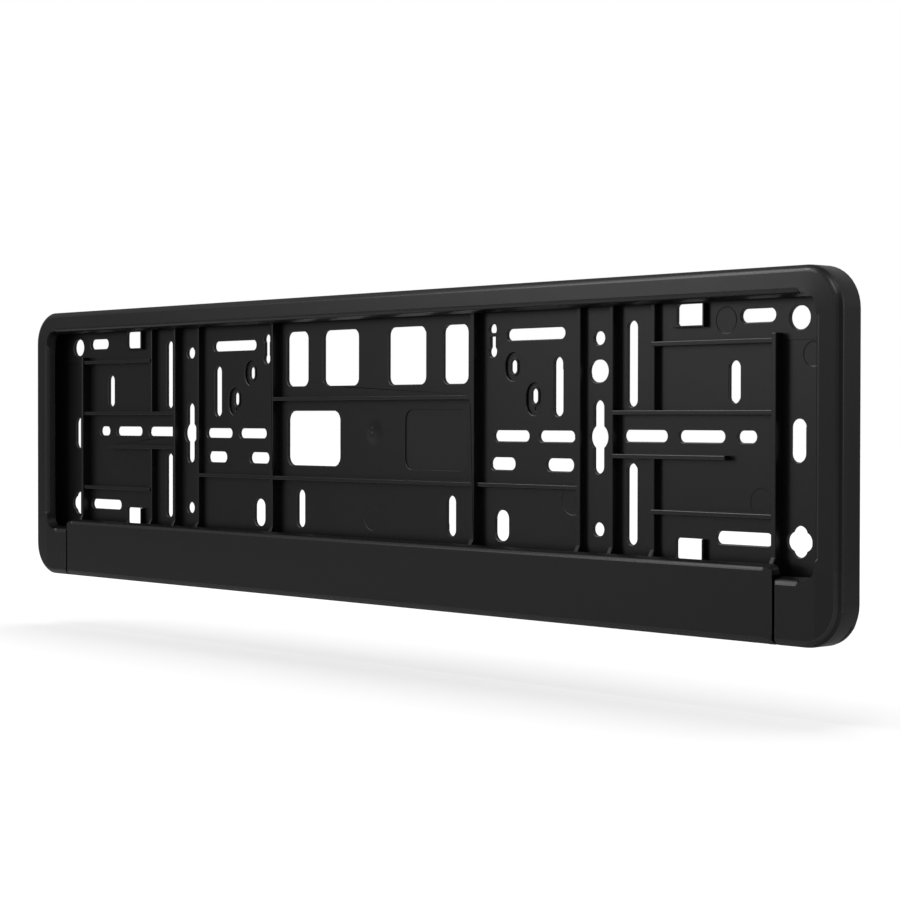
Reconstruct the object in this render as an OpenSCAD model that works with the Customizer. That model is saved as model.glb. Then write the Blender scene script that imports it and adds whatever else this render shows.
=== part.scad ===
// Number plate holder: a moulded carrier with a flap along its lower edge.
// +X is right as seen from the front, +Y goes to the rear, +Z is up.
// The origin is the middle of the flat rear face, which bolts to the bumper.

/* [Holder] */
// Overall width
holder_w = 536.4; // [500:0.2:560]
// Overall height
holder_h = 137.4; // [130:0.2:150]
// Overall depth, rear face to front face
holder_d = 12; // [11.6:0.1:15]
// Radius of the four outer corners
corner_r = 16; // [14:0.5:20]
// Thickness of the outer side walls
wall_t = 2.2; // [1.8:0.1:3]
// Thickness of the front face of the border
face_t = 2.2; // [1.6:0.1:2.6]
// Thickness of the slotted floor
floor_t = 1.8; // [1.4:0.1:2.4]
// Width of the border at the sides
border_w = 11; // [8:0.1:12]
// Width of the border along the top
top_border_w = 9.8; // [8:0.1:11]
// Radius of the corners of the opening
opening_r = 6; // [4:0.1:9]
// Height of the fixed lower corners
corner_h = 23.7; // [20:0.1:25]
// Width of the chamfer round the front edge
edge_in = 1.6; // [0.5:0.1:1.8]
// Depth of the chamfer round the front edge
edge_deep = 2; // [1:0.1:3]

/* [Lip over the plate] */
// Depth of the lip from the front face
lip_d = 4.5; // [3.6:0.1:4.6]
// How far the lip slopes inwards over its depth
lip_in = 1.4; // [0.8:0.1:2]
// Thickness of the lip
lip_t = 1.6; // [1.2:0.1:2]

/* [Flap] */
// Length of the flap
flap_w = 475.2; // [440:0.2:485]
// Height of the flap's front face
flap_h = 27.9; // [26:0.1:32]
// Gap between each end of the flap and the fixed corner
end_gap = 1.2; // [0.6:0.1:2]
// Depth of the sloping top edge of the flap
flap_lip_d = 3; // [2.4:0.1:3.4]
// Radius of the flap's upper front corners
flap_corner_r = 2; // [1.5:0.1:3]
// Width of the thin web between carrier and flap
web_w = 0.8; // [0.6:0.1:1.2]
// Thickness of the web
web_t = 0.4; // [0.3:0.05:0.6]
// Length of each stretch of web
web_l = 46; // [20:1:50]
// Number of stretches of web
web_n = 8; // [4:1:8]
// Width of each snap tongue
tongue_w = 10; // [8:0.5:14]
// Thickness of each snap tongue
tongue_t = 1.6; // [1.2:0.1:2]
// Spacing of the tongues
tongue_pitch = 124; // [100:1:125]
// Height of the tongues above the lower edge
tongue_z = 18.3; // [15:0.1:19]
// Clearance round each tongue in its window
tongue_gap = 0.5; // [0.4:0.05:1]

/* [Ribs] */
// Thickness of the upright ribs
rib_t = 2.2; // [1.8:0.1:2.8]
// Thickness of the level ribs
level_rib_t = 1.9; // [1.4:0.1:2.6]
// Height of the main ribs above the floor
rib_h = 4; // [3:0.1:4.4]
// Height of the middle ribs: the level ribs of the outer bays and the ribs outside the key slots
mid_rib_h = 3.4; // [2.4:0.1:4]
// Height of the low ribs: inside the key slots, beside the long upright slots and the lower ones between
low_rib_h = 2.6; // [2:0.1:3.6]
// How far the feet of the upright ribs step forward
toe_d = 1.6; // [1:0.1:2]
// Height over which a foot steps forward
toe_rise = 3; // [2:0.1:5]
// Top of the feet above the lower edge of the holder
toe_z = 31.3; // [29:0.1:33]

/* [Slots] */
// Height of the level slots in the middle row
row_slot_h = 4.6; // [4:0.1:6]
// Height of the four short slots below the middle row
short_slot_h = 5.2; // [4.5:0.1:6]
// Width of the upright slots
upright_slot_w = 5.4; // [4.8:0.1:6]
// Length of the slightly long holes in the upper corners
corner_hole_w = 9.6; // [8:0.1:10]
// Height of the holes in the upper corners
corner_hole_h = 8.7; // [7:0.1:9.5]
// Length of the four small holes above and below the key slots
small_hole_w = 6.4; // [5:0.1:7.5]
// Height of the four small holes
small_hole_h = 5.4; // [5:0.1:6.5]
// Diameter of the round middle of the key slots
key_hole_d = 10.2; // [8:0.1:11.5]
// Length of each arm of the cross holes
cross_l = 11.6; // [10:0.1:12.5]
// Width of each arm of the cross holes
cross_arm = 7.2; // [5:0.1:8]
// Depth of the oval pockets round the small slots
pocket_d = 1; // [0.6:0.1:1.2]
// Height of the rim round the slot in each pocket, above the pocket's bottom
rim_h = 0.5; // [0.2:0.1:0.9]
// Width of the rims
rim_t = 1; // [0.6:0.1:1.2]
// Depth of the step in the floor outside the outer ribs
step_d = 0.3; // [0.1:0.1:0.5]
// Depth of the blank window on the right
blank_d = 0.5; // [0.3:0.1:1]
// Width of the blank window
blank_w = 40.3; // [36:0.1:42]
// Height of the blank window
blank_h = 26.2; // [22:0.2:27]
// Width of the large window
window_w = 38.8; // [36:0.2:42]
// Height of the large window
window_h = 25.2; // [22:0.2:27]
// Thickness of the low walls beside the square holes
collar_t = 0.7; // [0.6:0.1:1.4]
// Height of the low walls above the floor
collar_h = 2; // [1.6:0.1:3]

/* [Hidden] */
$fn = 36;
e = 1;
half_w = holder_w / 2;
half_h = holder_h / 2;
front = holder_d;
lip_rear = holder_d - lip_d;
// Inner edge of the border at the rear of the lip, level with the front of the hollow behind it
open_w = holder_w - 2 * (border_w + lip_in);
open_top = half_h - top_border_w - lip_in;
open_bottom = -half_h + corner_h + lip_in;
open_h = open_top - open_bottom;
open_z = (open_top + open_bottom) / 2;
open_r = opening_r - lip_in;
hollow_w = holder_w - 2 * wall_t;
hollow_h = holder_h - 2 * wall_t;
hollow_r = corner_r - wall_t;
bay_w = flap_w + 2 * end_gap;
// Flap
flap_top = -half_h + flap_h;
flap_rear = floor_t + web_w;
flare = lip_in;
crown_z = open_bottom + 0.4;
tongue_tip = 0.4;
// Centres of the upright ribs, right of the middle; the left side mirrors them
rib_inner = 69.6;
rib_key_in = 131.1;
rib_key_out = 150;
rib_low = 171.4;
rib_outer = 232.9;
rib_outer_stub = 1.8;
// Heights of the level ribs
level_top = 42.3;
level_upper = 15.8;
level_mid = -1.3;
level_low = -22.6;
centre_upper = 22.4;
centre_low = -14.4;
mid_rib_end = 209;
// Slots of the middle row: [centre x, centre z, length]
row_slots = [[89.4, 6.2, 21.6], [116.3, 6.2, 21], [165.3, 6.7, 23.4], [194.5, 6.7, 23.4], [217, 6.7, 9.4]];
// Short slots below them: [centre x, length]
short_z = -5.4;
short_slots = [[84.2, 15.3], [118.1, 15.9]];
// Other level slots: [centre x, centre z, length, height]
level_slots = [[103.8, 48.2, 34.3, 4.8], [222.2, 51.8, 16.8, 5.1], [215.6, -31.3, 27.5, 4.9]];
// Upright slots: [centre x, centre z, height, extra width]
upright_slots = [[158.4, 35, 33.8, 0], [158.4, -20.1, 32.2, 0], [117.2, 26.4, 24.2, 0], [210.9, 27.2, 16.3, 0.1],
    [52.1, -28.4, 17.5, 0.4]];
// Windows with small corner radii: [centre x, centre z, width, height, radius]
windows = [[54.8, 40.9, 16, 25.3, 3.5], [22.9, 40.9, 25.3, 25.3, 3.5], [83.8, -31.3, 8.4, 12.9, 3.6],
    [241.2, 5.5, 7.1, 15.9, 3.2]];
window_x = 42.8;
window_z = 4.2;
window_r = 4.5;
blank_x = 42.1;
key_x = 140.1;
key_z = 6.1;
key_l = 29.3;
key_slot_w = 5.6;
small_z = [45.5, -30.7];
big_hole = [139.9, 32.4, 10.8, 9];
corner_hole = [241.9, 50.4];
cross_hole = [242, -31.4];
// Square holes at the top and the bottom, by their upper edges
square_x = 189;
square_w = 15;
square_h = 8.4;
square_r = 1.5;
square_top = open_top - 0.2;
square_low = -half_h + 36.4;
// Oval pockets: [centre x, centre z, width, height], each with a small slot
pockets = [[103.3, 21.5, 10, 13.4], [90.6, 35, 9.6, 11.8]];
pocket_slots = [[102.9, 22.7, 3.4, 6], [90.4, 34.9, 3.4, 5.6]];
// Blind hole below the slot of the lower pocket: [centre x, centre z, diameter, depth]
pip = [103.4, 17.4, 2, 1.4];
// Slots near the inner ribs, wider at both ends: [centre x, centre z, neck width, height, end diameter]
edge_slot = [78.1, 46.1, 3.6, 14, 4.8];
bridge_z = 48.5;
bridge_h = 1.5;

// Flat shape with round corners
module round_rect(w, h, r) {
    square([w - 2 * r, h], center = true);
    square([w, h - 2 * r], center = true);
    for (sx = [-1, 1], sz = [-1, 1]) translate([sx * (w / 2 - r), sz * (h / 2 - r)]) circle(r);
}

// Slot with half-round ends
module slot(w, h) {
    r = min(w, h) / 2;
    if (w > h) square([w - 2 * r, h], center = true);
    else square([w, h - 2 * r], center = true);
    for (s = [-1, 1]) translate(w > h ? [s * (w / 2 - r), 0] : [0, s * (h / 2 - r)]) circle(r);
}

// Flat shape given thickness between two distances forward of the rear face
module slab(rear, fore) {
    translate([0, -rear, 0]) rotate([90, 0, 0]) linear_extrude(fore - rear) children();
}

module block(x0, x1, rear, fore, z0, z1) {
    translate([x0, -fore, z0]) cube([x1 - x0, fore - rear, z1 - z0]);
}

module both_sides() {
    children();
    mirror([1, 0, 0]) children();
}

module both_sides_flat() {
    children();
    mirror([1, 0]) children();
}

// Sweeps a profile round a rectangle with round corners. The profile's first axis is
// measured outwards from the centre of the corner, the second forward of the rear face.
module swept(w, h, r) {
    for (k = [0, 1]) rotate([0, 180 * k, 0]) {
        translate([w / 2 - r, 0, r - h / 2]) mirror([0, 1, 0]) linear_extrude(h - 2 * r) children();
        rotate([0, -90, 0]) translate([h / 2 - r, 0, r - w / 2]) mirror([0, 1, 0])
            linear_extrude(w - 2 * r) children();
    }
    for (c = [[1, 1, 0], [-1, 1, 90], [-1, -1, 180], [1, -1, 270]])
        translate([c[0] * (w / 2 - r), 0, c[1] * (h / 2 - r)]) rotate([90, 0, 0]) rotate([0, 0, c[2]])
            rotate_extrude(angle = 90) children();
}

// What a chamfer takes off the front edge of an outline
module edge_cut(w, h, r, inset, deep) {
    swept(w, h, r) polygon([[r - inset, front], [r, front - deep], [r + e, front - deep],
        [r + e, front + e], [r - inset, front + e]]);
}

// Upright rib with its foot
module upright_rib(x, z1, high) {
    z0 = -half_h + wall_t + tongue_gap;
    toe_top = -half_h + toe_z;
    face = floor_t + high;
    translate([x - rib_t / 2, 0, 0]) rotate([90, 0, 90]) linear_extrude(rib_t)
        polygon([[-floor_t / 2, z0], [-floor_t / 2, z1], [-face, z1], [-face, toe_top],
            [-face - toe_d, toe_top - toe_rise], [-face - toe_d, z0]]);
}

module level_rib(x0, x1, z, high) {
    block(x0, x1, floor_t / 2, floor_t + high, z - level_rib_t / 2, z + level_rib_t / 2);
}

module ribs() {
    top = half_h - wall_t / 2;
    both_sides() {
        upright_rib(rib_inner, top, rib_h);
        upright_rib(rib_key_in, top, low_rib_h);
        upright_rib(rib_key_out, top, mid_rib_h);
        upright_rib(rib_outer, level_top + level_rib_t / 2 + rib_outer_stub, rib_h);
        difference() {
            upright_rib(rib_low, top, low_rib_h);
            block(rib_low - rib_t, rib_low + rib_t, floor_t, front, level_mid, level_upper);
        }
        level_rib(rib_low, rib_outer, level_top, mid_rib_h);
        level_rib(rib_key_out, rib_outer, level_upper, mid_rib_h);
        level_rib(rib_key_out, mid_rib_end, level_mid, mid_rib_h);
        level_rib(rib_low, rib_outer, level_low, mid_rib_h);
        level_rib(0, rib_inner, centre_upper, rib_h);
        level_rib(0, rib_inner, centre_low, rib_h);
        level_rib(rib_inner, rib_key_in, centre_low, low_rib_h);
    }
}

module square_hole(x, top) {
    translate([x, top - square_h / 2]) round_rect(square_w, square_h, square_r);
}

// Low walls on the right of the square holes, and under the upper ones
module collars() {
    for (x = [-square_x, square_x]) {
        right = x + square_w / 2;
        for (top = [square_low, square_top])
            block(right, right + collar_t, floor_t / 2, floor_t + collar_h, top - square_h, top);
        block(x - square_w / 2, right + collar_t, floor_t / 2, floor_t + collar_h,
            square_top - square_h - collar_t, square_top - square_h);
    }
}

// Slot with a round hole at each end
module ended_slot() {
    square([edge_slot[2], edge_slot[3] - edge_slot[4]], center = true);
    for (s = [-1, 1]) translate([0, s * (edge_slot[3] - edge_slot[4]) / 2]) circle(d = edge_slot[4]);
}

// Every opening in the floor
module floor_holes() {
    both_sides_flat() {
        for (s = row_slots) translate([s[0], s[1]]) slot(s[2], row_slot_h);
        for (s = short_slots) translate([s[0], short_z]) slot(s[1], short_slot_h);
        for (s = level_slots) translate([s[0], s[1]]) slot(s[2], s[3]);
        for (s = upright_slots) translate([s[0], s[1]]) slot(upright_slot_w + s[3], s[2]);
        for (s = windows) translate([s[0], s[1]]) round_rect(s[2], s[3], s[4]);
        for (s = pocket_slots) translate([s[0], s[1]]) slot(s[2], s[3]);
        translate(corner_hole) slot(corner_hole_w, corner_hole_h);
        translate(cross_hole) {
            slot(cross_l, cross_arm);
            slot(cross_arm, cross_l);
        }
        translate([key_x, key_z]) {
            slot(key_slot_w, key_l);
            circle(d = key_hole_d);
        }
        for (z = small_z) translate([key_x, z]) slot(small_hole_w, small_hole_h);
        for (top = [square_low, square_top]) square_hole(square_x, top);
    }
    translate([-window_x, window_z]) round_rect(window_w, window_h, window_r);
    translate([big_hole[0], big_hole[1]]) slot(big_hole[2], big_hole[3]);
    translate([-edge_slot[0], edge_slot[1]]) ended_slot();
    difference() {
        translate([edge_slot[0], edge_slot[1]]) ended_slot();
        translate([edge_slot[0], bridge_z]) square([2 * edge_slot[4], bridge_h], center = true);
    }
}

// Shallow recesses in the front of the floor
module floor_pockets() {
    rim_top = floor_t - pocket_d + rim_h;
    both_sides() {
        difference() {
            slab(floor_t - pocket_d, floor_t + e) for (p = pockets) translate([p[0], p[1]]) slot(p[2], p[3]);
            slab(0, rim_top) for (s = pocket_slots)
                translate([s[0], s[1]]) slot(s[2] + 2 * rim_t, s[3] + 2 * rim_t);
        }
        slab(floor_t - pip[3], floor_t) translate([pip[0], pip[1]]) circle(d = pip[2]);
        block(rib_outer + rib_t / 2, hollow_w / 2, floor_t - step_d, floor_t + step_d, wall_t - half_h,
            level_top);
    }
    slab(floor_t - blank_d, floor_t + e)
        translate([blank_x, window_z]) round_rect(blank_w, blank_h, window_r);
}

// Places of the flap's snap tongues along X
function tongue_x() = [for (k = [-1.5, -0.5, 0.5, 1.5]) k * tongue_pitch];

module tongue_windows() {
    w = tongue_w + 2 * tongue_gap;
    h = tongue_t + 2 * tongue_gap;
    for (x = tongue_x()) block(x - w / 2, x + w / 2, -e, floor_t + e, tongue_z - half_h - h / 2,
        tongue_z - half_h + h / 2);
}

module border() {
    difference() {
        union() {
            difference() {
                slab(0, front) round_rect(holder_w, holder_h, corner_r);
                edge_cut(holder_w, holder_h, corner_r, edge_in, edge_deep);
                slab(floor_t, front - face_t) round_rect(hollow_w, hollow_h, hollow_r);
            }
            translate([0, 0, open_z]) slab(lip_rear, front - face_t / 2)
                round_rect(open_w + 2 * lip_t, open_h + 2 * lip_t, open_r + lip_t);
        }
        translate([0, 0, open_z]) {
            slab(floor_t + e, front + e) round_rect(open_w, open_h, open_r);
            swept(open_w, open_h, open_r) polygon([[open_r - 0.2, lip_rear], [open_r, lip_rear],
                [open_r + lip_in, front], [open_r + lip_in, front + e], [open_r - 0.2, front + e]]);
        }
        block(-bay_w / 2, bay_w / 2, floor_t, front + e, -half_h - e, open_bottom + e);
    }
}

module carrier() {
    color("#1b1b1c") difference() {
        union() {
            border();
            ribs();
            collars();
        }
        slab(-e, front) floor_holes();
        floor_pockets();
        tongue_windows();
    }
}

// Outline of the sloping top edge, which also wraps round the ends above the fixed corners
module flap_crown() {
    crown_w = flap_w + 2 * flare;
    crown_r = flap_corner_r + flare;
    translate([0, 0, flap_top + flare - flap_h / 2]) difference() {
        slab(front - flap_lip_d, front) round_rect(crown_w, flap_h, crown_r);
        edge_cut(crown_w, flap_h, crown_r, flare, flap_lip_d);
        slab(front - flap_lip_d - e, front - face_t)
            round_rect(crown_w - 2 * lip_t, flap_h - 2 * lip_t, max(crown_r - lip_t, 0.3));
    }
}

// Face and lower wall of the flap, with the tongues that snap into the carrier
module flap() {
    color("#1b1b1c") {
        translate([-flap_w / 2, 0, 0]) rotate([90, 0, 90]) linear_extrude(flap_w)
            polygon([[edge_deep - front, -half_h], [-front, edge_in - half_h], [-front, crown_z + lip_t],
                [face_t - front, crown_z + lip_t], [face_t - front, wall_t - half_h],
                [-flap_rear, wall_t - half_h], [-flap_rear, -half_h]]);
        difference() {
            flap_crown();
            block(-half_w, half_w, 0, front + e, -holder_h, crown_z);
        }
        for (x = tongue_x()) translate([x - tongue_w / 2, 0, tongue_z - half_h]) rotate([90, 0, 90])
            linear_extrude(tongue_w) translate([-(tongue_tip + front - face_t / 2) / 2, 0])
                slot(front - face_t / 2 - tongue_tip, tongue_t);
    }
}

module hinge_web() {
    color("#1b1b1c") for (k = [0:web_n - 1]) {
        x = (k - (web_n - 1) / 2) * flap_w / web_n;
        block(x - web_l / 2, x + web_l / 2, floor_t, flap_rear, -half_h, web_t - half_h);
    }
}

carrier();
flap();
hinge_web();
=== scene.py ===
import math
import bmesh
import bpy
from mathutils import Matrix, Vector
from mathutils.kdtree import KDTree


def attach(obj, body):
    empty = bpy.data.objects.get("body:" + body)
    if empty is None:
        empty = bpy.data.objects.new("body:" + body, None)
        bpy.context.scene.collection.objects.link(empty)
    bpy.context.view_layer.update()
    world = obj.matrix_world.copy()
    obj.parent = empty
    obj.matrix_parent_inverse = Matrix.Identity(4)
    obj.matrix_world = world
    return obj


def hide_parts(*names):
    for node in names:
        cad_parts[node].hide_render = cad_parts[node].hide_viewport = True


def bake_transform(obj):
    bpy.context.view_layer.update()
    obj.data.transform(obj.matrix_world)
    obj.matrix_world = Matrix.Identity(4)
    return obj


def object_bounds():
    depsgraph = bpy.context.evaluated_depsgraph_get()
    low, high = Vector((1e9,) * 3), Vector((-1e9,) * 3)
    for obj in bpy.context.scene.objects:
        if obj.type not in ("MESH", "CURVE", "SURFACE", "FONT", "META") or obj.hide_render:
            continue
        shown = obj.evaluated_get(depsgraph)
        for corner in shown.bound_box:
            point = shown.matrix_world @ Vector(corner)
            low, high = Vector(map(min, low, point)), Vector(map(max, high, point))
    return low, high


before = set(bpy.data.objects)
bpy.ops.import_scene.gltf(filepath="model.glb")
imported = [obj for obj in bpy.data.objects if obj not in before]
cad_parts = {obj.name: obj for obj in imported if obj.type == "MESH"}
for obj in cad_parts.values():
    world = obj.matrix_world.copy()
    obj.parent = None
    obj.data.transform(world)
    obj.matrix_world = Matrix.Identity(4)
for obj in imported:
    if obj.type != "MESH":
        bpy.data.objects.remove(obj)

cadLow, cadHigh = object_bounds()

# The camera stands to the right of the holder and a little above its middle
cameraSet = {
    "place": (0.7531, -0.6312, 0.01318),    # metres
    "turn": 0.8397,        # radians to the left of straight ahead
    "tilt": -0.0141,       # radians above level
    "roll": -0.0016,
    "focalPixels": 2199.7,
    "framePixels": 900,
    "sensor": 36.0,
    "farEnd": 60.0,
}

# Satin black plastic with the fine grain of a spark-eroded mould
plastic = {
    "face": {"colour": (0.0045, 0.0045, 0.0047, 1), "colourClouded": (0.0065, 0.0065, 0.0067, 1),
             "roughness": (0.35, 0.41), "specular": 0.5},
    # The edge plastic is lighter than the faces: a painted highlight along the rounded edges, on top of the real
    # light that the roundings catch
    "edge": {"colour": (0.012, 0.012, 0.0123, 1), "colourClouded": (0.016, 0.016, 0.0163, 1),
             "roughness": (0.24, 0.3), "specular": 0.8},
    "insideLevel": -0.0075,    # behind this level the mould is a little smoother
    "insideSmoother": 0.07,
    "blankLevel": -0.0013,     # floor of the blank window, which is rougher
    "blankReach": 0.0001,
    "blankRougher": 0.16,
    "grainSize": 2600.0,       # per metre
    "grainDetail": 3.0,
    "grainRough": 0.6,
    "grainBump": 0.18,
    "grainDeep": 0.0001,
    "cloudSize": 38.0,         # per metre
    "cloudDetail": 4.0,
}

# Marks of the mould's ejector pins and of its gate on the front of the floor. Each place gives centre x and z,
# radius, width of the soft edge, and depth as a share of "deep"
marks = {
    "level": -0.0018,      # front of the floor
    "reach": 0.0005,
    "bump": 0.5,
    "deep": 0.0004,
    "places": [
        (0.2068, 0.0505, 0.005, 0.0003, 1.0),
        (0.248, 0.037, 0.0045, 0.0003, 1.0),
        (0.224, -0.0174, 0.005, 0.0003, 1.0),
        (-0.0007, -0.031, 0.0055, 0.0003, 0.5),
        (0.1255, -0.0195, 0.006, 0.0003, 0.6),
        (-0.0011, 0.0061, 0.0011, 0.0003, -1.4),
        (-0.0009, 0.0087, 0.0008, 0.0003, -1.2),
        (0.001, 0.0072, 0.0035, 0.003, 1.4),
    ],
}

# The faces of the border and the flap fall off a little outwards
crown = {
    "inside": (0.2572, 0.0589),    # inner edge of the border, at the sides and at the top
    "round": 0.007,                # radius of its corners
    "slope": math.tan(math.radians(5.5)),
    "flapTop": -0.0405,            # below this level the flap leans back
    "flapSlope": math.tan(math.radians(2)),
}

# Small roundings that the mould leaves on the outward edges
rounding = {
    "merge": 2e-6,         # metres
    "flatAngle": math.radians(0.6),
    "edgeAngle": math.radians(28),
    "needleAngle": math.radians(30),
    "keepOff": 0.0025,     # this near to a needle corner the edges stay sharp
    "cutAt": 1.05,         # in keepOffs from the end of an edge
    "longEdge": 4.0,       # in keepOffs, from which on an edge is worth a cut
    "width": 0.00035,
    "frontWidth": {"carrier": 0.0017, "flap": 0.0011},    # of the edges at the very front
    "frontLevel": -0.0115,
    "seamReach": 0.256,    # upright front edges nearer to the middle belong to the seams of the flap
    "share": 0.35,         # of the narrower face beside an edge, at most
    "segments": 3,
}

# The thin web between holder and flap bends from the rear level to the fore one
web = {
    "rear": -0.0018,
    "fore": -0.0026,
    "cuts": 3,
}

stage = {
    "floorDrop": 0.028,    # how far the floor lies below the holder
    "floorSize": 12.0,
    "floorColour": (0.45, 0.45, 0.45, 1),
    "floorAround": (0.29, 0.29, 0.29, 1),    # what the plastic sees of it
    "floorGlow": 0.955,    # far from the floor lamp, for the camera
    "worldStrength": 0.195,
}

# Soft glows of the room: direction, how narrow, how strong
glows = {
    "rear": ((0.0, 1.0, 0.35), 2.0, 0.22),
    "front": ((-0.45, -0.9, 0.1), 8.0, 0.05),
}

# Soft boxes that light the plastic only: sides in metres, power in watts
lamps = {
    "leftFront": {"place": (-0.76, -0.97, 0.55), "aim": (0, 0, 0), "size": 0.45, "power": 1.8},
    "frontLow": {"place": (-0.63, -1.18, 0.19), "aim": (0, 0, 0), "size": 0.45, "power": 0.3},
    "leftLow": {"place": (-0.82, -1.05, 0.19), "aim": (0, 0, 0), "size": 0.45, "power": 0.27},
    "leftHigh": {"place": (-0.56, -0.67, 1.03), "aim": (0, 0, 0), "size": 0.45, "power": 1.6},
    "rightFront": {"place": (0.47, -1.16, 0.51), "aim": (0, 0, 0), "size": 0.45, "power": 0.3},
    "topLeft": {"place": (-0.1, -0.15, 0.3), "aim": (-0.1, 0, 0.03), "size": 0.2, "power": 0.08},
    "topMiddle": {"place": (0.1, -0.1, 0.25), "aim": (0.1, 0, 0.03), "size": 0.15, "power": 0.09},
    "topRight": {"place": (0.4, -0.1, 0.25), "aim": (0.4, 0, 0.03), "size": 0.15, "power": 0.12},
    "sideRight": {"place": (0.9, 0.35, 0.2), "aim": (0.2, 0, 0), "size": 0.4, "power": 0.3},
}

# Casts the soft shadow on the floor and lights nothing else
floorLamp = {
    "place": (0, -0.02, 0.85),
    "aim": (0, -0.02, 0),
    "size": 0.95,
    "power": 13.1,
    "bright": 0.50,        # what it gives to the floor right below
}


def linkObject(obj):
    bpy.context.scene.collection.objects.link(obj)
    return obj


def makeCamera():
    data = bpy.data.cameras.new("camera")
    data.sensor_width = cameraSet["sensor"]
    data.lens = cameraSet["focalPixels"] / cameraSet["framePixels"] * cameraSet["sensor"]
    data.clip_end = cameraSet["farEnd"]
    camera = linkObject(bpy.data.objects.new("camera", data))
    camera.location = cameraSet["place"]
    camera.rotation_euler = (math.pi / 2 + cameraSet["tilt"], cameraSet["roll"], cameraSet["turn"])
    bpy.context.scene.camera = camera
    return camera


def makeGrainGroup():
    group = bpy.data.node_groups.new("mouldGrain", "ShaderNodeTree")
    for name, first in (("size", plastic["grainSize"]), ("cloudSize", plastic["cloudSize"])):
        socket = group.interface.new_socket(name=name, in_out="INPUT", socket_type="NodeSocketFloat")
        socket.default_value = first
    group.interface.new_socket(name="grain", in_out="OUTPUT", socket_type="NodeSocketFloat")
    group.interface.new_socket(name="cloud", in_out="OUTPUT", socket_type="NodeSocketFloat")
    nodes, links = group.nodes, group.links
    groupIn = nodes.new("NodeGroupInput")
    groupOut = nodes.new("NodeGroupOutput")
    coord = nodes.new("ShaderNodeTexCoord")
    fine = nodes.new("ShaderNodeTexNoise")
    fine.inputs["Detail"].default_value = plastic["grainDetail"]
    fine.inputs["Roughness"].default_value = plastic["grainRough"]
    cloud = nodes.new("ShaderNodeTexNoise")
    cloud.inputs["Detail"].default_value = plastic["cloudDetail"]
    links.new(coord.outputs["Object"], fine.inputs["Vector"])
    links.new(groupIn.outputs["size"], fine.inputs["Scale"])
    links.new(coord.outputs["Object"], cloud.inputs["Vector"])
    links.new(groupIn.outputs["cloudSize"], cloud.inputs["Scale"])
    links.new(fine.outputs["Fac"], groupOut.inputs["grain"])
    links.new(cloud.outputs["Fac"], groupOut.inputs["cloud"])
    return group


def addMath(nodes, links, operation, first, second, third=None):
    node = nodes.new("ShaderNodeMath")
    node.operation = operation
    for socket, value in zip(node.inputs, (first, second, third)):
        if isinstance(value, (int, float)):
            socket.default_value = value
        elif value is not None:
            links.new(value, socket)
    return node.outputs[0]


# Height of the front of the floor round each mark, 0 on the plain floor, and how far forward a point lies
def makeMarksGroup():
    group = bpy.data.node_groups.new("mouldMarks", "ShaderNodeTree")
    group.interface.new_socket(name="height", in_out="OUTPUT", socket_type="NodeSocketFloat")
    group.interface.new_socket(name="depth", in_out="OUTPUT", socket_type="NodeSocketFloat")
    nodes, links = group.nodes, group.links
    groupOut = nodes.new("NodeGroupOutput")
    coord = nodes.new("ShaderNodeTexCoord")
    flat = nodes.new("ShaderNodeVectorMath")
    flat.operation = "MULTIPLY"
    flat.inputs[1].default_value = (1, 0, 1)
    links.new(coord.outputs["Object"], flat.inputs[0])
    split = nodes.new("ShaderNodeSeparateXYZ")
    links.new(coord.outputs["Object"], split.inputs[0])
    total = 0.0
    for x, z, radius, soft, deep in marks["places"]:
        away = nodes.new("ShaderNodeVectorMath")
        away.operation = "DISTANCE"
        links.new(flat.outputs["Vector"], away.inputs[0])
        away.inputs[1].default_value = (x, 0, z)
        step = nodes.new("ShaderNodeMapRange")
        step.interpolation_type = "SMOOTHSTEP"
        links.new(away.outputs["Value"], step.inputs["Value"])
        step.inputs["From Min"].default_value = radius - soft
        step.inputs["From Max"].default_value = radius + soft
        step.inputs["To Min"].default_value = -deep
        step.inputs["To Max"].default_value = 0
        total = addMath(nodes, links, "ADD", step.outputs["Result"], total)
    near = addMath(nodes, links, "COMPARE", split.outputs["Y"], marks["level"], marks["reach"])
    links.new(addMath(nodes, links, "MULTIPLY", total, near), groupOut.inputs["height"])
    links.new(split.outputs["Y"], groupOut.inputs["depth"])
    return group


# Fall of the border's and the flap's face towards the outside, in metres
def makeCrownGroup():
    group = bpy.data.node_groups.new("borderCrown", "ShaderNodeTree")
    group.interface.new_socket(name="height", in_out="OUTPUT", socket_type="NodeSocketFloat")
    nodes, links = group.nodes, group.links
    groupOut = nodes.new("NodeGroupOutput")
    coord = nodes.new("ShaderNodeTexCoord")
    split = nodes.new("ShaderNodeSeparateXYZ")
    links.new(coord.outputs["Object"], split.inputs[0])
    squares = 0.0
    for place, inside in ((addMath(nodes, links, "ABSOLUTE", split.outputs["X"], 0), crown["inside"][0]),
                          (split.outputs["Z"], crown["inside"][1])):
        beyond = addMath(nodes, links, "SUBTRACT", place, inside - crown["round"])
        beyond = addMath(nodes, links, "MAXIMUM", beyond, 0)
        squares = addMath(nodes, links, "MULTIPLY_ADD", beyond, beyond, squares)
    away = addMath(nodes, links, "SUBTRACT", addMath(nodes, links, "SQRT", squares, 0), crown["round"])
    fall = addMath(nodes, links, "MULTIPLY", addMath(nodes, links, "MAXIMUM", away, 0), -crown["slope"])
    below = addMath(nodes, links, "SUBTRACT", crown["flapTop"], split.outputs["Z"])
    below = addMath(nodes, links, "MAXIMUM", below, 0)
    total = addMath(nodes, links, "MULTIPLY_ADD", below, -crown["flapSlope"], fall)
    links.new(total, groupOut.inputs["height"])
    return group


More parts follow.
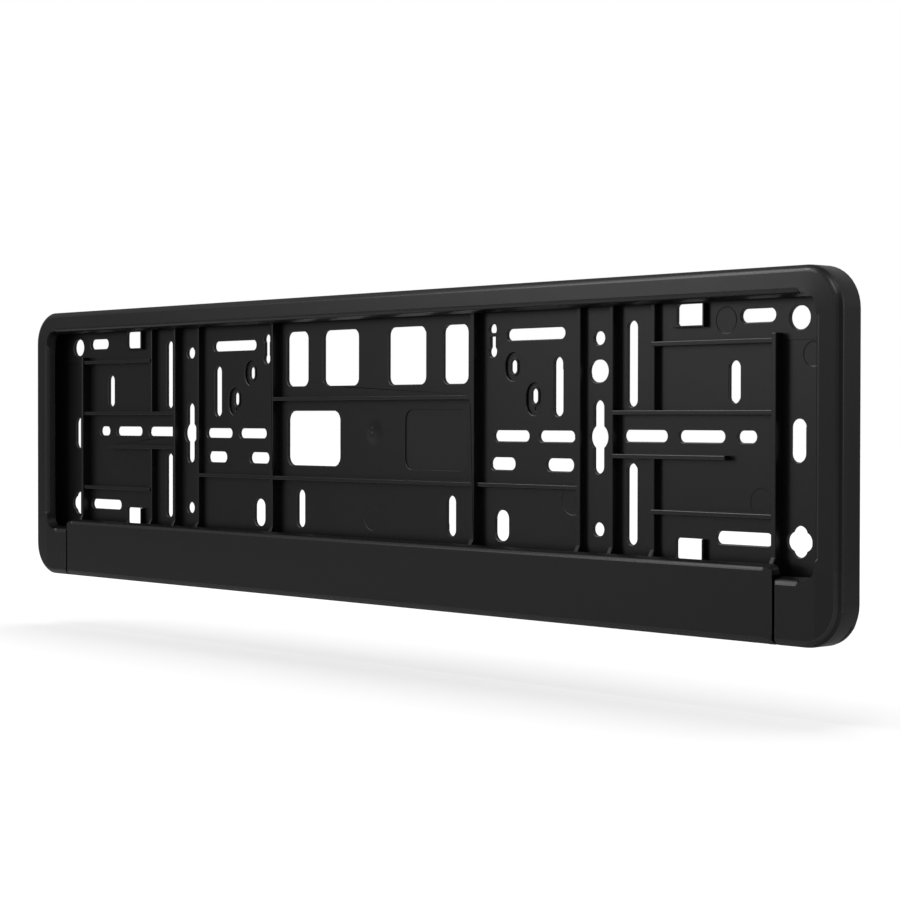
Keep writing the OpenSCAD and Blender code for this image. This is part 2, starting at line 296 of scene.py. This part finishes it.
# Sockets 6 and 7 of a Mix node take its two colours, and output 2 gives the mixed one
def mixColour(nodes, links, factor, first, second):
    mix = nodes.new("ShaderNodeMix")
    mix.data_type = "RGBA"
    mix.inputs[6].default_value = first
    mix.inputs[7].default_value = second
    links.new(factor, mix.inputs[0])
    return mix.outputs[2]


def addBump(nodes, links, height, strength, distance, normal=None):
    bump = nodes.new("ShaderNodeBump")
    bump.inputs["Strength"].default_value = strength
    bump.inputs["Distance"].default_value = distance
    links.new(height, bump.inputs["Height"])
    if normal is not None:
        links.new(normal, bump.inputs["Normal"])
    return bump.outputs["Normal"]


def makePlastic(name, look, grainGroup, marksGroup, crownGroup):
    material = bpy.data.materials.new(name)
    material.use_nodes = True
    nodes, links = material.node_tree.nodes, material.node_tree.links
    shader = nodes["Principled BSDF"]
    grain = nodes.new("ShaderNodeGroup")
    grain.node_tree = grainGroup
    grain.inputs["size"].default_value = plastic["grainSize"]
    grain.inputs["cloudSize"].default_value = plastic["cloudSize"]
    mark = nodes.new("ShaderNodeGroup")
    mark.node_tree = marksGroup
    fall = nodes.new("ShaderNodeGroup")
    fall.node_tree = crownGroup
    links.new(mixColour(nodes, links, grain.outputs["cloud"], look["colour"], look["colourClouded"]),
              shader.inputs["Base Color"])
    rough = nodes.new("ShaderNodeMapRange")
    rough.inputs["To Min"].default_value, rough.inputs["To Max"].default_value = look["roughness"]
    links.new(grain.outputs["cloud"], rough.inputs["Value"])
    inside = addMath(nodes, links, "GREATER_THAN", mark.outputs["depth"], plastic["insideLevel"])
    blank = addMath(nodes, links, "COMPARE", mark.outputs["depth"], plastic["blankLevel"], plastic["blankReach"])
    smoother = addMath(nodes, links, "MULTIPLY_ADD", inside, -plastic["insideSmoother"], rough.outputs["Result"])
    links.new(addMath(nodes, links, "MULTIPLY_ADD", blank, plastic["blankRougher"], smoother),
              shader.inputs["Roughness"])
    shader.inputs["Specular IOR Level"].default_value = look["specular"]
    crowned = addBump(nodes, links, fall.outputs["height"], 1, 1)
    marked = addBump(nodes, links, mark.outputs["height"], marks["bump"], marks["deep"], crowned)
    links.new(addBump(nodes, links, grain.outputs["grain"], plastic["grainBump"], plastic["grainDeep"], marked),
              shader.inputs["Normal"])
    return material


# A copy of a CAD node's mesh with its doubles merged and its flat faces joined
def mergedShape(node):
    shape = bmesh.new()
    shape.from_mesh(node.data)
    bmesh.ops.remove_doubles(shape, verts=shape.verts, dist=rounding["merge"])
    bmesh.ops.dissolve_limit(shape, angle_limit=rounding["flatAngle"], verts=shape.verts, edges=shape.edges,
                             delimit=set())
    return shape


def finishShape(shape, name):
    mesh = bpy.data.meshes.new(name)
    shape.to_mesh(mesh)
    shape.free()
    mesh.materials.append(blackPlastic)
    # The second material is the lighter edge plastic, a painted highlight for the roundings
    mesh.materials.append(paintedHighlightEdgePlastic)
    return linkObject(bpy.data.objects.new(name, mesh))


# How far a face reaches away from one of its edges, as far as it matters for the rounding
def roomBeside(edge, face, enough):
    start = edge.verts[0].co
    along = (edge.verts[1].co - start).normalized()
    room = 0
    for vert in face.verts:
        away = vert.co - start
        room = max(room, (away - away.dot(along) * along).length)
        if room > enough:
            return enough
    return room


# The front edges of border and flap are rounder than the rest, but for the seams between them
def widthOf(edge, frontWidth):
    start, end = edge.verts[0].co, edge.verts[1].co
    if max(start.y, end.y) > rounding["frontLevel"]:
        return rounding["width"]
    if abs(start.x - end.x) < rounding["width"] and abs(start.x) < rounding["seamReach"]:
        return rounding["width"]
    return frontWidth


def isCorner(edge):
    return edge.is_manifold and edge.is_convex and edge.calc_face_angle() > rounding["edgeAngle"]


# Where faces end in needles, too narrow for a rounding
def findNeedles(shape):
    needles = KDTree(len(shape.verts))
    for face in shape.faces:
        for corner in face.loops:
            if corner.calc_angle() < rounding["needleAngle"]:
                needles.insert(corner.vert.co, corner.vert.index)
    needles.balance()
    return needles


# A long edge that ends at a needle is cut a little before it, so that most of it can be rounded
def cutBeforeNeedles(shape, needles):
    for edge in [edge for edge in shape.edges if isCorner(edge)]:
        for vert in edge.verts[:]:
            length = edge.calc_length()
            isLong = length > rounding["longEdge"] * rounding["keepOff"]
            if isLong and needles.find_range(vert.co, rounding["keepOff"]):
                cutAt = rounding["cutAt"] * rounding["keepOff"] / length
                cutOff = bmesh.utils.edge_split(edge, vert, cutAt)[0]
                if edge.calc_length() < cutOff.calc_length():
                    edge = cutOff


# The node with its edges rounded, which stands for it
def makeRounded(node, body):
    frontWidth = rounding["frontWidth"][node.name]
    shape = mergedShape(node)
    weight = shape.edges.layers.float.new("bevel_weight_edge")
    needles = findNeedles(shape)
    cutBeforeNeedles(shape, needles)
    edges = []
    for edge in filter(isCorner, shape.edges):
        edge.smooth = not any(needles.find_range(vert.co, rounding["keepOff"]) for vert in edge.verts)
        if edge.smooth:
            edges.append(edge)
    for edge in edges:
        room = min(roomBeside(edge, face, frontWidth / rounding["share"]) for face in edge.link_faces)
        edge[weight] = min(widthOf(edge, frontWidth), room * rounding["share"]) / frontWidth
    for face in shape.faces:
        face.smooth = any(rounding["flatAngle"] < edge.calc_face_angle() < rounding["edgeAngle"]
                          for edge in face.edges)
    obj = finishShape(shape, node.name + "_rounded")
    bevel = obj.modifiers.new("rounding", "BEVEL")
    bevel.limit_method = "WEIGHT"
    bevel.width = frontWidth
    bevel.segments = rounding["segments"]
    bevel.use_clamp_overlap = False
    # The rounding faces take the lighter edge plastic, which paints a highlight along the edges
    bevel.material = obj.data.materials.find(paintedHighlightEdgePlastic.name)
    weighted = obj.modifiers.new("weighted", "WEIGHTED_NORMAL")
    weighted.keep_sharp = True
    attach(obj, body)
    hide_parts(node.name)
    print(obj.name, len(edges), "edges rounded,", len(obj.data.polygons), "faces")
    return obj


# The webs are cut across their bend.
def makeWeb(node):
    shape = mergedShape(node)
    across = [edge for edge in shape.edges
              if abs(edge.verts[0].co.y - edge.verts[1].co.y) > abs(web["fore"] - web["rear"]) / 2]
    bmesh.ops.subdivide_edges(shape, edges=across, cuts=web["cuts"], use_grid_fill=True)
    obj = finishShape(shape, "hinge_web_bending")
    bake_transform(obj)
    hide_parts(node.name)
    print("web made,", len(obj.data.polygons), "faces")
    return obj


# The floor glows for the camera where the lamp's light falls off, so that it is white but for the soft shadow
def makeFloorMaterial():
    material = bpy.data.materials.new("paleFloor")
    material.use_nodes = True
    nodes, links = material.node_tree.nodes, material.node_tree.links
    shader = nodes["Principled BSDF"]
    path = nodes.new("ShaderNodeLightPath")
    links.new(mixColour(nodes, links, path.outputs["Is Camera Ray"], stage["floorAround"], stage["floorColour"]),
              shader.inputs["Base Color"])
    shader.inputs["Roughness"].default_value = 1
    shader.inputs["Specular IOR Level"].default_value = 0
    shader.inputs["Emission Color"].default_value = (1, 1, 1, 1)
    coord = nodes.new("ShaderNodeTexCoord")
    away = nodes.new("ShaderNodeVectorMath")
    away.operation = "DISTANCE"
    links.new(coord.outputs["Object"], away.inputs[0])
    away.inputs[1].default_value = (floorLamp["place"][0], floorLamp["place"][1], cadLow.z - stage["floorDrop"])
    high = floorLamp["place"][2] - cadLow.z + stage["floorDrop"]
    ratio = addMath(nodes, links, "MULTIPLY", away.outputs["Value"], 1 / high)
    spread = addMath(nodes, links, "MULTIPLY_ADD", ratio, ratio, 1)
    light = addMath(nodes, links, "DIVIDE", floorLamp["bright"], addMath(nodes, links, "POWER", spread, 2))
    glow = addMath(nodes, links, "SUBTRACT", stage["floorGlow"], light)
    links.new(addMath(nodes, links, "MULTIPLY", glow, path.outputs["Is Camera Ray"]),
              shader.inputs["Emission Strength"])
    return material


def makeFloor():
    mesh = bpy.data.meshes.new("floor")
    shape = bmesh.new()
    bmesh.ops.create_grid(shape, x_segments=1, y_segments=1, size=stage["floorSize"] / 2)
    bmesh.ops.translate(shape, verts=shape.verts, vec=(0, 0, cadLow.z - stage["floorDrop"]))
    shape.to_mesh(mesh)
    shape.free()
    floor = linkObject(bpy.data.objects.new("floor", mesh))
    mesh.materials.append(makeFloorMaterial())
    return floor


# White where the camera looks at it, and an uneven soft light for everything else
def makeWorld():
    world = bpy.data.worlds.new("studio")
    bpy.context.scene.world = world
    world.use_nodes = True
    nodes, links = world.node_tree.nodes, world.node_tree.links
    coord = nodes.new("ShaderNodeTexCoord")
    total = stage["worldStrength"]
    for direction, narrow, strength in glows.values():
        dot = nodes.new("ShaderNodeVectorMath")
        dot.operation = "DOT_PRODUCT"
        dot.inputs[1].default_value = Vector(direction).normalized()
        links.new(coord.outputs["Generated"], dot.inputs[0])
        lobe = addMath(nodes, links, "POWER", addMath(nodes, links, "MAXIMUM", dot.outputs["Value"], 0), narrow)
        total = addMath(nodes, links, "MULTIPLY_ADD", lobe, strength, total)
    sky = nodes["Background"]
    sky.inputs["Color"].default_value = (1, 1, 1, 1)
    links.new(total, sky.inputs["Strength"])
    white = nodes.new("ShaderNodeBackground")
    white.inputs["Color"].default_value = (1, 1, 1, 1)
    white.inputs["Strength"].default_value = 1
    path = nodes.new("ShaderNodeLightPath")
    blend = nodes.new("ShaderNodeMixShader")
    links.new(addMath(nodes, links, "MAXIMUM", path.outputs["Is Camera Ray"], path.outputs["Is Transmission Ray"]),
              blend.inputs[0])
    links.new(sky.outputs[0], blend.inputs[1])
    links.new(white.outputs[0], blend.inputs[2])
    links.new(blend.outputs[0], nodes["World Output"].inputs["Surface"])


def makeLamp(name, lamp, lit):
    data = bpy.data.lights.new(name, "AREA")
    data.shape = "SQUARE"
    data.size = lamp["size"]
    data.energy = lamp["power"]
    obj = linkObject(bpy.data.objects.new(name, data))
    obj.location = lamp["place"]
    obj.rotation_euler = (Vector(lamp["aim"]) - Vector(lamp["place"])).to_track_quat("-Z", "Y").to_euler()
    obj.visible_camera = False
    obj.light_linking.receiver_collection = lit
    return obj


def makeLamps(pieces, floor):
    lit = {}
    for name, objects in (("litPieces", pieces), ("litFloor", [floor])):
        lit[name] = bpy.data.collections.new(name)
        for obj in objects:
            lit[name].objects.link(obj)
    for name, lamp in lamps.items():
        makeLamp(name, lamp, lit["litPieces"])
    makeLamp("floorLamp", floorLamp, lit["litFloor"])


makeCamera()
print("camera made")
groups = makeGrainGroup(), makeMarksGroup(), makeCrownGroup()
blackPlastic = makePlastic("black_plastic", plastic["face"], *groups)
# The edge plastic's lighter colour is a painted highlight on the roundings
paintedHighlightEdgePlastic = makePlastic("black_plastic_edge_painted_highlight", plastic["edge"], *groups)
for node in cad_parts.values():
    for slot in node.material_slots:
        slot.material = blackPlastic
print("plastic on", len(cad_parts), "nodes")
pieces = [makeRounded(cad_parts["carrier"], "holder"), makeRounded(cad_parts["flap"], "flap_body"),
          makeWeb(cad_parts["hinge_web"])]
makeWorld()
makeLamps(pieces, makeFloor())
bpy.context.scene.view_settings.view_transform = "Standard"
print("stage and light made")
